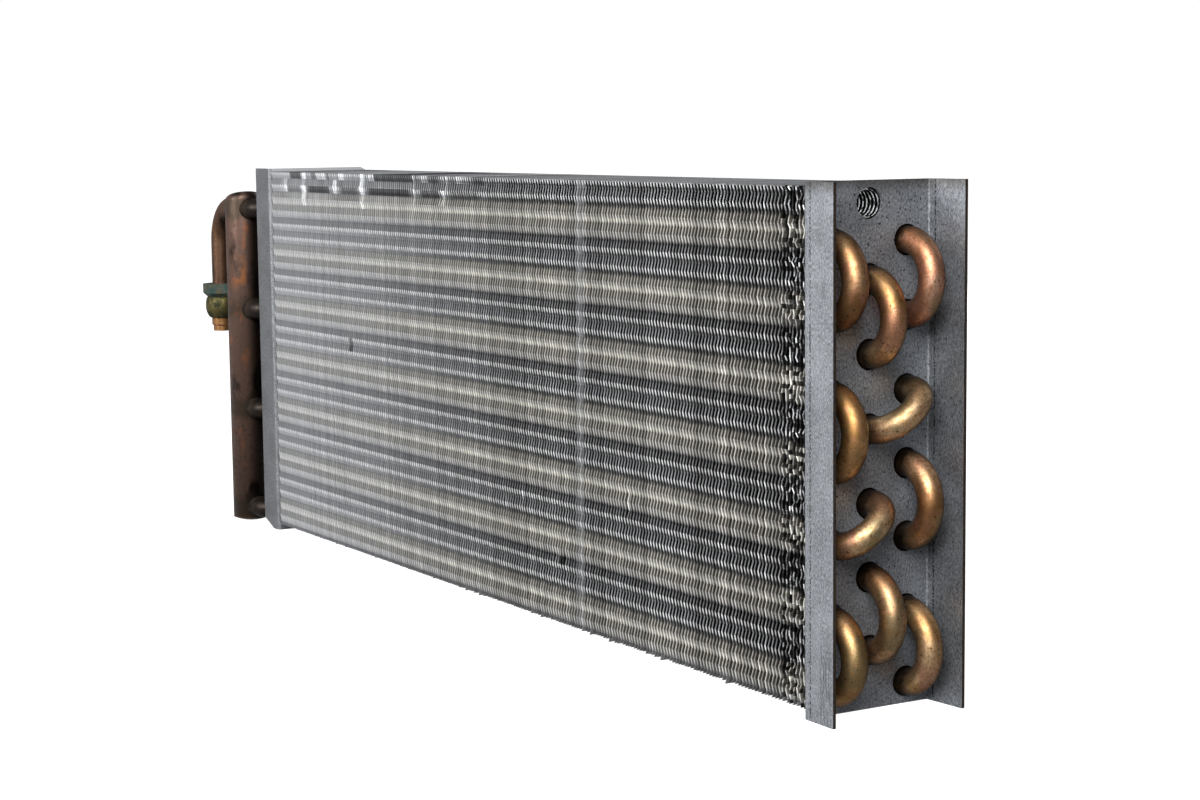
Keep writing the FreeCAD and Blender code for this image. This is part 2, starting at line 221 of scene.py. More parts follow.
class Graph:
    """A material that is laid on coat by coat, with coordinates in millimetres from the datum."""

    def __init__(self, name: str, ground: Colour = "#808080") -> None:
        """Starts a material.

        Args:
            name: the material's name.
            ground: the colour under the coats.
        """
        self.material = bpy.data.materials.new(name)
        self.material.use_nodes = True
        self.tree = self.material.node_tree
        self.shader = self.tree.nodes["Principled BSDF"]
        self.colour = ground
        moved = self.add("VectorMath.SUBTRACT", self.add("TexCoord", output="Object"), DATUM)
        self.mm = self.add("VectorMath.SCALE", moved, named={"Scale": 1 / MM})
        self.x, self.y, self.z = self.add("SeparateXYZ", self.mm).node.outputs

    def add(self, kind: str, *values: Input, **settings: object) -> Socket:
        """Adds one node to this tree, as add_node does."""
        return add_node(self.tree, kind, *values, **settings)

    def clouds(self, size_mm: float, detail: float = 3.0, roughness: float = 0.5,
               stretch: tuple[float, float, float] = (1.0, 1.0, 1.0)) -> Socket:
        """Cloudy pattern with features of a real size.

        Args:
            size_mm: the size of its features.
            detail: how many finer layers it has.
            roughness: how strong the finer layers are.
            stretch: how many times longer its features are along each axis.

        Returns:
            The pattern, from zero to one.
        """
        place = self.add("VectorMath.MULTIPLY", self.mm, Vector([1 / part for part in stretch]))
        return self.add("TexNoise", named={"Vector": place, "Scale": 1 / size_mm, "Detail": detail,
                                           "Roughness": roughness})

    def within(self, value: Socket, middle: float, reach: float, soft: float) -> Socket:
        """One near a middle value, falling to zero past a reach over a soft edge."""
        away = self.add("Math.ABSOLUTE", self.add("Math.SUBTRACT", value, middle))
        return self.add("MapRange", away, reach + soft, reach)

    def every(self, *masks: Value) -> Socket:
        """Product of masks, which shows only where every one of them does."""
        return functools.reduce(lambda one, other: self.add("Math.MULTIPLY", one, other), masks)

    def either(self, *masks: Value) -> Socket:
        """Greatest of masks, which shows wherever one of them does."""
        return functools.reduce(lambda one, other: self.add("Math.MAXIMUM", one, other), masks)

    def coat(self, top: Colour, mask: Value, bare: float | None = None, full: float = 1.0, most: float = 1.0,
             blend: Blend = Blend.MIX) -> None:
        """Lays one more coat of colour over the surface.

        Args:
            top: the coat's colour.
            mask: how much of the coat shows, or the pattern that tells it.
            bare: the pattern's value where the coat starts, if the mask is a pattern.
            full: the pattern's value where the coat is at its thickest.
            most: how much of the coat shows there.
            blend: how it mixes with what is below.
        """
        share = mask if bare is None else self.add("MapRange", mask, bare, full, 0.0, most)
        self.colour = self.add("Mix", named={0: share, 6: self.colour, 7: top}, output=2, data_type="RGBA",
                               blend_type=blend.value)

    def finish(self, metallic: Value, roughness: Value, height: Socket | None = None, depth_mm: float = 0.1,
               strength: float = 0.3) -> Material:
        """Wires the shader.

        Args:
            metallic: a value for the whole surface, or a pattern.
            roughness: a value for the whole surface, or a pattern.
            height: a bump pattern from zero to one.
            depth_mm: the depth that a height of one stands for.
            strength: how strongly the bump tells.

        Returns:
            The finished material.
        """
        for name, value in (("Base Color", self.colour), ("Metallic", metallic), ("Roughness", roughness)):
            feed(self.shader.inputs[name], value)
        if height is not None:
            bump = {"Height": height, "Distance": depth_mm * MM, "Strength": strength}
            feed(self.shader.inputs["Normal"], self.add("Bump", named=bump))
        return self.material


@dataclass(frozen=True)
class GalvanisedSheet:
    """Hot-dipped zinc on steel: dull bluish grey, dark specks, brown sheared edges, and the far plate's top
    edge painted pale and made matt as painted light.

    The zinc's real grain is finer than it can show, so it is drawn as coarse as it needs to be seen.
    """

    name: str = "galvanised_sheet"
    light: str = "#989ba0"
    deep: str = "#878a8f"
    bloom: str = "#b9bcc1"
    pore: str = "#5d6064"
    speck: str = "#2e2f31"
    brush_mark: str = "#4d4f52"
    smudge: str = "#6a6861"
    stain: str = "#4c463e"
    dust: str = "#5b5b59"
    sheared: str = "#2a2119"
    rust: str = "#5d4a36"
    # Pale colour painted on the far plate's top edge as painted light.
    matt: str = "#b4b6b8"
    cloud_mm: float = 14.0
    grain_mm: float = 0.6
    speck_mm: float = 0.8
    step_mm: float = 0.75
    brush_mm: float = 0.45
    blot_mm: float = 2.6
    stain_mm: float = 9.0
    fold_mark_x: float = 4.2
    brushed_x: float = 12.6
    flange: float = 17.0
    web_x: float = 1.2
    web_roughness: float = 0.08
    metallic: float = 0.8

    def build(self) -> Material:
        """Builds the material.

        Returns:
            The finished material.
        """
        g = Graph(self.name)
        clouds = g.clouds(self.cloud_mm)
        grain = g.clouds(self.grain_mm, 2.0, 0.7, (1.0, 1.0, 1.8))
        near = g.add("MapRange", g.x, PATTERN.far_side / 2, 0.0)
        front = g.add("MapRange", g.y, 3.0, 1.3)
        g.colour = g.add("ValToRGB", clouds, stops=((0.35, self.deep), (0.65, self.light)))
        g.coat(self.bloom, grain, 0.5, 0.34, 0.8)
        g.coat(self.pore, grain, 0.52, 0.68, 0.75)
        inner = g.every(g.within(g.x, 1.6, 0.8, 0.6), g.add("MapRange", g.z, 100.0, 172.0, 0.35, 1.0))
        crowd = g.add("Math.MULTIPLY_ADD", inner, -0.04, 0.7)
        g.coat(self.speck, g.add("Math.SUBTRACT", g.clouds(self.speck_mm, 1.0, 0.4), crowd), 0.0, 0.03, 0.85)
        steps = g.add("MapRange", g.clouds(self.step_mm, 0.0), 0.44, 0.52, 0.0, 0.9)
        g.coat(self.speck, g.every(g.within(g.x, self.fold_mark_x, 0.3, 0.14), steps))
        low = g.every(g.within(g.x, self.brushed_x, 2.2, 1.6), g.add("MapRange", g.z, 34.0, 16.0))
        brushed = g.clouds(self.brush_mm, 2.0, 0.6, (1.0, 1.0, 30.0))
        g.coat(self.brush_mark, g.every(low, front, g.add("MapRange", brushed, 0.49, 0.56, 0.0, 0.85)))
        blots = g.add("MapRange", g.clouds(self.blot_mm, 5.0, 0.7, (1.0, 1.0, 2.2)), 0.52, 0.68, 0.0, 0.5)
        g.coat(self.smudge, g.every(blots, front))
        wander = g.add("Math.MULTIPLY_ADD", g.clouds(self.stain_mm, 4.0, 0.6), 6.0, g.z)
        g.coat(self.stain, g.every(g.add("MapRange", wander, 179.0, 184.0), 0.75, near))
        g.coat(self.dust, g.x, PATTERN.far_side + 1.0, PATTERN.far_side, 0.45)
        rusty = g.add("MapRange", grain, 0.4, 0.62, 0.0, 0.8)
        rust = g.add("Mix", named={0: rusty, 6: self.sheared, 7: self.rust}, output=2, data_type="RGBA")
        g.coat(rust, g.every(self.sheared_edges(g, near), 0.92))
        web = g.every(g.within(g.x, self.web_x, 0.5, 0.3), self.web_roughness)
        rough = g.add("Math.ADD", g.add("MapRange", clouds, 0.3, 0.7, 0.44, 0.54), web)
        # Painted light: the far plate's top edge is painted pale and made matt, so that it reads as lit.
        painted_lit_top = g.every(g.add("MapRange", g.z, PATTERN.plate_height - 1.7, PATTERN.plate_height - 1.3),
                       g.add("MapRange", g.y, 1.3, 1.8), g.add("Math.SUBTRACT", 1.0, near))
        g.coat(self.matt, painted_lit_top)
        return g.finish(g.add("Math.MULTIPLY_ADD", painted_lit_top, -self.metallic, self.metallic), rough, grain, 0.05)

    def sheared_edges(self, g: Graph, near: Socket) -> Socket:
        """Mask of the edges that were cut.

        Args:
            g: the material's graph.
            near: one at the near plate and zero at the far one.

        Returns:
            The mask.
        """
        back_x = (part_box("end_plate_near")[1].x - DATUM.x) / MM
        far_x = PATTERN.far_side - self.flange
        front_edge = g.every(g.add("MapRange", g.x, self.flange - 0.04, self.flange),
                             g.add("MapRange", g.y, 3.0, 2.0))
        ends = g.either(g.add("MapRange", g.z, PATTERN.plate_height - 0.06, PATTERN.plate_height - 0.01),
                        g.add("MapRange", g.z, 0.06, 0.01))
        return g.either(front_edge, g.add("MapRange", g.x, back_x - 0.13, back_x - 0.1),
                        g.add("MapRange", g.x, far_x + 0.05, far_x), g.every(ends, near))


@dataclass(frozen=True)
class FinAluminium:
    """Rolled aluminium with its light painted on: bright ripple flanks are painted highlights, the black
    gaps painted shade between the fins, and the tan bands painted reflections of the copper tubes.

    The bands repeat with the tubes of the front row. Each names the painted tone of a fin's outer strip
    and the painted tone deeper in the gap, and then where it starts and ends in millimetres below a
    tube's centre, or its middle alone.
    """

    name: str = "fin_aluminium"
    # All these tones are painted light: the pale ones are painted highlights on the ripple flanks, the dark
    # ones painted shade, tan and gleam painted reflections of the copper tubes, top painted shade on the top
    # edges, and foot painted light at the foot.
    streak: str = "#fbfcfd"
    ledge: str = "#f6f4ec"
    rim: str = "#dedbd3"
    haze: str = "#d9d9d8"
    slate: str = "#adaeb0"
    dusk: str = "#6e6f6f"
    tan: str = "#6a655d"
    gleam: str = "#a8a499"
    black: str = "#141415"
    pale: str = "#c6c8cb"
    far_slate: str = "#a0a2a6"
    top: str = "#77797c"
    foot: str = "#8b8b89"
    # A painted highlight runs along a dent line across the fins: its place, its lean and its strength.
    dent_highlight_x: float = -152.5
    dent_highlight_slope: float = 41.0
    dent_highlight_share: float = 0.33
    front_y: float = 1.2
    strip_mm: float = 0.24
    gap_mm: float = 0.5
    shake_mm: float = 1.6
    bands: tuple[tuple, ...] = (
        ("haze", "tan", 0.0, 1.7), ("dusk", "black", 3.1), ("slate", "black", 4.4, 5.9),
        ("streak", "black", 6.5, 7.5), ("dusk", "black", 8.5), ("slate", "black", 9.8),
        ("pale", "black", 10.6, 11.9), ("streak", "black", 12.8, 13.8), ("dusk", "black", 14.8, 15.6),
        ("rim", "tan", 16.8, 18.8), ("haze", "tan", 19.8), ("ledge", "gleam", 20.9, 21.3),
        ("rim", "tan", 22.1, 24.6), ("haze", "tan", 25.4),
    )

    def stops(self, layer: int) -> Stops:
        """Stops of the outer strip's tones, layer 0, or of the gap's, layer 1."""
        return tuple((down / PATTERN.tube_pitch, getattr(self, band[layer]))
                     for band in self.bands for down in band[2:])

    def build(self) -> Material:
        """Builds the material.

        Returns:
            The finished material.
        """
        g = Graph(self.name)
        inward = g.add("Math.SUBTRACT", g.y, self.front_y)
        outward = g.add("Math.SUBTRACT", self.front_y + PATTERN.fin_depth, g.y)
        above = g.add("Math.SUBTRACT", PATTERN.overhang + PATTERN.fin_height, g.z)
        nearest = g.add("Math.MINIMUM", g.add("Math.MINIMUM", inward, outward), above)
        shaky = g.add("Math.MULTIPLY_ADD", g.clouds(self.shake_mm, 1.0), 1.2, -0.6)
        start = PATTERN.hole("A1").z + 2 * PATTERN.tube_pitch
        below = g.add("Math.SUBTRACT", start, g.add("Math.ADD", g.z, shaky))
        phase = g.add("Math.FRACT", g.add("Math.DIVIDE", below, PATTERN.tube_pitch))
        # Painted light: the outer strip takes the bands' painted highlight tones, and deeper in the gap takes
        # their painted shade and painted copper reflections.
        g.colour = g.add("ValToRGB", phase, stops=self.stops(0))
        g.coat(g.add("ValToRGB", phase, stops=self.stops(1)), nearest, self.strip_mm, self.gap_mm)
        # Painted light: the fins are painted lighter and paler towards the far plate.
        g.coat(self.far_slate, g.x, -200.0, -420.0, 0.9, Blend.LIGHTEN)
        g.coat(self.pale, g.x, -260.0, -430.0, 0.4)
        # Painted shade deep in the gaps between the fins.
        g.coat(self.black, nearest, self.gap_mm, 3.0, 0.7)
        # Painted highlight: a pale line along a dent, where the bent fins catch the light.
        lean = g.add("Math.MULTIPLY_ADD", g.z, -1 / self.dent_highlight_slope, g.x)
        g.coat(self.pale, g.every(g.within(lean, self.dent_highlight_x, 2.7, 0.9), self.dent_highlight_share))
        # Painted light: the lowest few millimetres of the fins are painted lighter.
        g.coat(self.foot, g.z, 6.5, 4.0, 0.75, Blend.LIGHTEN)
        # Painted shade: the fins' top edges are painted darker.
        g.coat(self.top, above, 0.5, 0.2, 0.9)
        # Each fin's and facet's tone, with the knocks' painted highlights and painted shade, multiplies the
        # colour.
        g.coat(g.add("Attribute", attribute_name=FIN_TONE, output="Color"), 1.0, blend=Blend.MULTIPLY)
        return g.finish(0.25, 0.4)


@dataclass(frozen=True)
class BendCopper:
    """Copper tube with a thin brown oxide: bronze gold, rosy where hot, near black at its roots from soot and
    painted shade, and with painted shade where it turns edge-on.

    The marks that drawing leaves are finer than they can show, so they are as coarse as they need to be seen.
    """

    name: str = "bend_copper"
    light: str = "#efca9e"
    mid: str = "#d4a572"
    deep: str = "#a67c4c"
    worn: str = "#7a5837"
    rose: str = "#d0907c"
    olive: str = "#8b8460"
    # Painted shade on the sides that turn edge-on.
    edge_shade: str = "#38281a"
    # Soot and painted shade for the roots, and the colour of the pits.
    soot_and_shade: str = "#1d130b"
    patch_mm: float = 22.0
    tint_mm: float = 13.0
    streak_mm: float = 1.6
    mark_mm: float = 0.5
    pits_per_mm: float = 0.36
    # Where the roots' soot and painted shade starts and where it is full, in millimetres along the coil.
    bare_lit_x: float = 9.6
    sooty_shaded_x: float = 4.4

    def build(self) -> Material:
        """Builds the material.

        Returns:
            The finished material.
        """
        g = Graph(self.name)
        streaks = g.clouds(self.streak_mm, 5.0, 0.65)
        marks = g.clouds(self.mark_mm, 2.0, 0.6)
        tint = g.clouds(self.tint_mm, 3.0, 0.55, (1.0, 1.0, 1.5))
        g.colour = g.add("ValToRGB", g.clouds(self.patch_mm, 3.0, 0.55),
                         stops=((0.34, self.deep), (0.46, self.mid), (0.6, self.light)))
        g.coat(self.rose, tint, 0.54, 0.64, 0.6)
        g.coat(self.olive, tint, 0.47, 0.38, 0.65)
        g.coat(self.deep, streaks, 0.48, 0.66, 0.8)
        g.coat(self.worn, marks, 0.5, 0.66, 0.6)
        # Soot and painted shade: the roots by the plate darken to near black.
        root = g.add("Math.ADD", g.x, g.add("MapRange", streaks, 0.3, 0.7, -1.6, 1.6))
        g.coat(self.soot_and_shade, root, self.bare_lit_x, self.sooty_shaded_x, 0.95)
        pits = g.add("TexVoronoi", named={"Vector": g.mm, "Scale": self.pits_per_mm}, output="Distance")
        g.coat(self.soot_and_shade, pits, 0.14, 0.08, 0.8)
        # Painted shade: the bends darken where they turn edge-on.
        g.coat(self.edge_shade, g.add("LayerWeight", 0.4, output="Facing"), 0.3, 0.8, 0.88)
        return g.finish(1.0, g.add("MapRange", streaks, 0.3, 0.7, 0.4, 0.55), marks, 0.1, 0.4)


@dataclass(frozen=True)
class PatinaCopper:
    """Old header copper: brown-black oxide, rubbed orange glints, grey-green flux round the stubs, and
    painted shade on its back half and towards the plate.
    """

    name: str = "patina_copper"
    base: str = "#675045"
    rubbed: str = "#a3623a"
    dark: str = "#1e1410"
    flux: str = "#453a2f"
    glint: str = "#a1653a"
    # Painted shade on the header's back half and on its stubs by the plate.
    soot_and_shade: str = "#150f0c"
    stub_pitch: float = 50.8
    flux_reach: float = 4.5
    cloud_mm: float = 12.0
    fleck_mm: float = 1.8
    wear_mm: float = 5.0
    glint_y: float = -4.3
    glint_z: float = 128.0

    def build(self) -> Material:
        """Builds the material.

        Returns:
            The finished material.
        """
        g = Graph(self.name)
        wide = g.clouds(self.cloud_mm, 4.0, 0.55, (1.0, 1.0, 2.2))
        flecks = g.clouds(self.fleck_mm, 4.0, 0.6)
        g.colour = g.add("ValToRGB", wide, stops=((0.36, self.dark), (0.47, self.base), (0.6, self.base),
                                                  (0.74, self.rubbed)))
        g.coat(self.dark, flecks, 0.52, 0.75, 0.6)
        lowest = PATTERN.hole("A7").z
        steps = g.add("Math.DIVIDE", g.add("Math.SUBTRACT", g.z, lowest), self.stub_pitch)
        off = g.every(g.add("Math.SUBTRACT", steps, g.add("Math.ROUND", steps)), self.stub_pitch)
        ragged = g.add("Math.MULTIPLY_ADD", wide, 14.0, g.add("Math.ABSOLUTE", off))
        crust = g.add("MapRange", ragged, self.flux_reach + 9.5, self.flux_reach + 5.5, 0.0, 0.8)
        g.coat(self.flux, g.every(crust, g.add("MapRange", g.x, -500.0, -498.0)))
        worn = g.add("MapRange", g.clouds(self.wear_mm, 3.0, 0.6, (1.0, 1.0, 1.8)), 0.4, 0.56, 0.0, 0.9)
        spot = g.every(g.within(g.z, self.glint_z, 3.5, 6.5), g.within(g.y, self.glint_y, 0.8, 3.0),
                       g.add("MapRange", g.x, -487.0, -485.0))
        g.coat(self.glint, g.every(spot, worn))
        # Painted shade: the header's back half and the stubs by the plate are darkened to near black.
        shaded = g.every(g.add("MapRange", g.y, -2.2, 2.8, 0.0, 0.88), g.add("MapRange", g.y, 20.0, 15.0),
                         g.add("MapRange", g.x, -500.0, -496.0))
        g.coat(self.soot_and_shade, g.either(shaded, g.add("MapRange", g.x, -480.0, -475.0, 0.0, 0.85)))
        return g.finish(0.75, g.add("MapRange", flecks, 0.3, 0.7, 0.34, 0.58), flecks, 0.2, 0.4)


@dataclass(frozen=True)
class CrustedMetal:
    """Tarnished metal with a second colour in cloudy crusts, as old brass and brazing alloy have."""

    name: str
    base: str
    crust: str
    dark: str = "#1f1a12"
    crust_share: float = 0.5
    metallic: float = 0.8
    roughness: float = 0.42
    crust_roughness: float = 0.75
    cloud_mm: float = 4.0
    fleck_mm: float = 0.9

    def build(self) -> Material:
        """Builds the material.

        Returns:
            The finished material.
        """
        g = Graph(self.name, self.base)
        wide = g.clouds(self.cloud_mm, 4.0, 0.6)
        crusted = g.add("MapRange", wide, self.crust_share - 0.08, self.crust_share + 0.08, 1.0, 0.0)
        g.coat(self.crust, crusted)
        g.coat(self.dark, g.clouds(self.fleck_mm, 4.0, 0.6), 0.52, 0.72, 0.7)
        rough = g.add("MapRange", crusted, 0.0, 1.0, self.roughness, self.crust_roughness)
        return g.finish(self.metallic, rough, wide, 0.25, 0.5)


@dataclass(frozen=True)
class CollarAluminium:
    """Polished fin collars down the unused passage: thin bright arcs on black.

    The little glow on their inner faces is painted light, an emission that stands in for the light that
    mirror-bright collars pass on down a real passage.
    """

    name: str = "collar_aluminium"
    colour: str = "#f4f6f8"
    dull: str = "#4a4b4d"
    patch_mm: float = 2.2
    # Strength of the painted glow.
    glow: float = 0.3

    def build(self) -> Material:
        """Builds the material.

        Returns:
            The finished material.
        """
        g = Graph(self.name)
        g.colour = g.add("ValToRGB", g.clouds(self.patch_mm, 2.0, 0.6),
                         stops=((0.42, self.dull), (0.5, self.colour)))
        away = g.add("VectorMath.SUBTRACT", g.mm, (0.0, UNUSED_HOLE.y, UNUSED_HOLE.z))
        across = g.add("VectorMath.MULTIPLY", away, (0.0, 1.0, 1.0))
        normal = g.add("NewGeometry", output="Normal")
        outward = g.add("VectorMath.DOT_PRODUCT", across, normal, output="Value")
        # Painted light: the collars' inner faces glow, though they are no lamp.
        feed(g.shader.inputs["Emission Color"], g.colour)
        feed(g.shader.inputs["Emission Strength"], g.every(g.add("Math.LESS_THAN", outward, 0.0), self.glow))
        return g.finish(0.6, 0.3)


@dataclass(frozen=True)
class StudioPaper:
    """Seamless white background paper: matt, lit to a clean white of its own."""

    name: str = "studio_paper"
    base: str = "#9a9a9a"
    colour: str = "#ffffff"
    glow: float = 1.02

    def build(self) -> Material:
        """Builds the material.

        Returns:
            The finished material.
        """
        material = bpy.data.materials.new(self.name)
        material.use_nodes = True
        shader = material.node_tree.nodes["Principled BSDF"]
        for name, value in (("Base Color", self.base), ("Roughness", 0.9), ("Emission Color", self.colour),
                            ("Emission Strength", self.glow)):
            feed(shader.inputs[name], value)
        return material


def mixed_finishes() -> Finishes:
    """Builds every finish of the coil once.

    Returns:
        The materials, by the short names that the pieces ask for.
    """
    recipes = {
        "sheet": GalvanisedSheet(),
        "fin": FinAluminium(),
        "collar": CollarAluminium(),
        "bend": BendCopper(),
        # The rosy bend's root soot and painted shade stops closer to the plate.
        "rosy_bend": BendCopper("rosy_copper", "#efbb9f", "#d59877", "#ad7450", bare_lit_x=7.0, sooty_shaded_x=2.4),
        "brown_bend": BendCopper("brown_copper", "#e4b88d", "#c49469", "#966c46"),
        "dull_copper": CrustedMetal("dull_copper", "#4d3427", "#241812", cloud_mm=6.0),
        "header": PatinaCopper(),
        "pipe": PatinaCopper("pipe_copper", "#5b4130", "#a8733f"),
        "verdigris": CrustedMetal("verdigris_brass", "#474330", "#293e39", crust_share=0.55, metallic=0.3),
        "brass": CrustedMetal("olive_brass", "#5e5631", "#343523"),
        "braze": CrustedMetal("brazing_alloy", "#2b221b", "#17120e", roughness=0.7, cloud_mm=2.0),
        # Soot and painted shade: near-black copper for the rear stubs.
        "sooty_shaded": CrustedMetal("sooty_shaded_copper", "#241812", "#120d0a", roughness=0.5, cloud_mm=6.0),
        "tail": CrustedMetal("bare_copper_tail", "#a97a4d", "#5c3b24", crust_share=0.42, roughness=0.3),
    }
    return {name: recipe.build() for name, recipe in recipes.items()}


class Bench:
    """Turns a finished bmesh into a named object of the coil."""

    @staticmethod
    def piece(bm: BMesh, name: str, materials: list[Material], slot: str,
              smooth: bool = True) -> bpy.types.Object:
        """Writes the mesh, dresses it and lets it ride on the coil.

        Args:
            bm: the finished mesh, in metres in the shared frame; it is freed.
            name: the object's name.
            materials: its finishes, in the order of the faces' material numbers.
            slot: the record's material slot; not used.
            smooth: whether its faces are shaded smooth.

        Returns:
            The new object.
        """
        bmesh.ops.recalc_face_normals(bm, faces=bm.faces[:])
        for face in bm.faces:
            face.smooth = smooth
        mesh = bpy.data.meshes.new(name)
        bm.to_mesh(mesh)
        bm.free()
        for material in materials:
            mesh.materials.append(material)
        piece = bpy.data.objects.new(name, mesh)
        bpy.context.scene.collection.objects.link(piece)
        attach(piece, BODY)
        LOG.info("%s: %d faces", name, len(mesh.polygons))
        return piece

    @staticmethod
    def dress(name: str, material: Material) -> None:
        """Gives a node of the frame its finish.

        Args:
            name: the node's name.
            material: its finish.
        """
        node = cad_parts[name]
        node.data.materials.clear()
        node.data.materials.append(material)
        LOG.info("%s: %s", name, material.name)


@dataclass
class KeptNodes:
    """Nodes of the frame that keep their own shape, each dressed by how its name starts."""

    finish_of: tuple[tuple[str, str], ...]

    def build(self, finishes: Finishes) -> None:
        """Dresses every node that has a finish here.

        Args:
            finishes: the finishes.
        """
        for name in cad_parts:
            for start, finish in self.finish_of:
                if name.startswith(start):
                    Bench.dress(name, finishes[finish])


@dataclass
class EndPlates(KeptNodes):
    """The two folded sheet plates."""

    finish_of: tuple[tuple[str, str], ...] = (("end_plate", "sheet"),)


@dataclass
class FarSide(KeptNodes):
    """Return bends, headers, stubs, connection pipe and tail at the far end."""

    finish_of: tuple[tuple[str, str], ...] = (
        ("return_bend", "dull_copper"), ("front_header_bottom_cap", "header"), ("front_stub", "header"),
        ("rear_header", "header"), ("rear_stub", "sooty_shaded"), ("rear_outlet_pipe", "dull_copper"),
        ("connection_pipe", "pipe"), ("connection_tail", "tail"),
    )


class TubeRun:
    """A round tube that grows from a ring of edges, one operator at a time."""

    def __init__(self, bm: BMesh, centre: Vector, direction: Vector, radius: float, sides: int) -> None:
        """Starts the run with a ring.

        Args:
            bm: the mesh that takes the tube.
            centre: the ring's centre, in metres.
            direction: where the tube goes.
            radius: the ring's radius, in metres.
            sides: how many edges the ring has.
        """
        self.bm = bm
        self.centre = centre.copy()
        self.direction = direction.normalized()
        self.radius = radius
        turn = self.direction.to_track_quat("Z", "Y").to_matrix().to_4x4()
        ring = bmesh.ops.create_circle(bm, cap_ends=False, segments=sides, radius=radius,
                                       matrix=Matrix.Translation(centre) @ turn)
        members = set(ring["verts"])
        self.edges = list({edge for vert in members for edge in vert.link_edges})

    def _rescale(self, verts: list[bmesh.types.BMVert], radius: float) -> None:
        """Gives the last ring another radius.

        Args:
            verts: the ring's corners.
            radius: the radius, in metres.
        """
        ratio = radius / self.radius
        bmesh.ops.scale(self.bm, vec=(ratio,) * 3, space=Matrix.Translation(-self.centre), verts=verts)
        self.radius = radius

    def straight(self, length: float, radius: float | None = None) -> "TubeRun":
        """Runs on in a straight line, with a cone if another radius is given.

        Args:
            length: how far, in metres; negative runs back.
            radius: the radius at the end, in metres.

        Returns:
            The run itself.
        """
        grown = bmesh.ops.extrude_edge_only(self.bm, edges=self.edges)["geom"]
        verts = [part for part in grown if isinstance(part, bmesh.types.BMVert)]
        kept = set(verts)
        self.edges = [part for part in grown if isinstance(part, bmesh.types.BMEdge)
                      and part.verts[0] in kept and part.verts[1] in kept]
        bmesh.ops.translate(self.bm, vec=self.direction * length, verts=verts)
        self.centre = self.centre + self.direction * length
        if radius is not None:
            self._rescale(verts, radius)
        return self

    def bend(self, centre: Vector, angle: float, steps: int, waist: float = 1.0) -> "TubeRun":
        """Runs round a centre.

        Args:
            centre: the centre of the bend, in metres.
            angle: how far it turns, in radians.
            steps: how many rings it takes.
            waist: the share of the radius that is left half-way round.

        Returns:
            The run itself.
        """
        axis = (self.centre - centre).cross(self.direction).normalized()
        full = self.radius
        step = Matrix.Rotation(angle / steps, 3, axis)
        for index in range(1, steps + 1):
            out = bmesh.ops.spin(self.bm, geom=self.edges, cent=centre, axis=axis, dvec=(0.0, 0.0, 0.0),
                                 angle=angle / steps, steps=1, use_merge=False, use_duplicate=False)
            self.edges = [part for part in out["geom_last"] if isinstance(part, bmesh.types.BMEdge)]
            self.centre = centre + step @ (self.centre - centre)
            self.direction = (step @ self.direction).normalized()
            share = math.sin(math.pi * index / steps)
            verts = list({vert for edge in self.edges for vert in edge.verts})
            self._rescale(verts, full * (1.0 - (1.0 - waist) * share))
        return self

    def close(self) -> None:
        """Caps both ends."""
        bmesh.ops.edgeloop_fill(self.bm, edges=self.edges)
        left_open = [edge for edge in self.bm.edges if edge.is_boundary]
        bmesh.ops.edgeloop_fill(self.bm, edges=left_open)


@dataclass(frozen=True)
class Knock:
    """A place where the fins were hit, in millimetres, with its push and its painted tone: a painted
    highlight on the bent fins above one, painted shade below one.
    """

    x: float
    z: float
    half_width: float
    half_height: float
    push: float
    tone: float


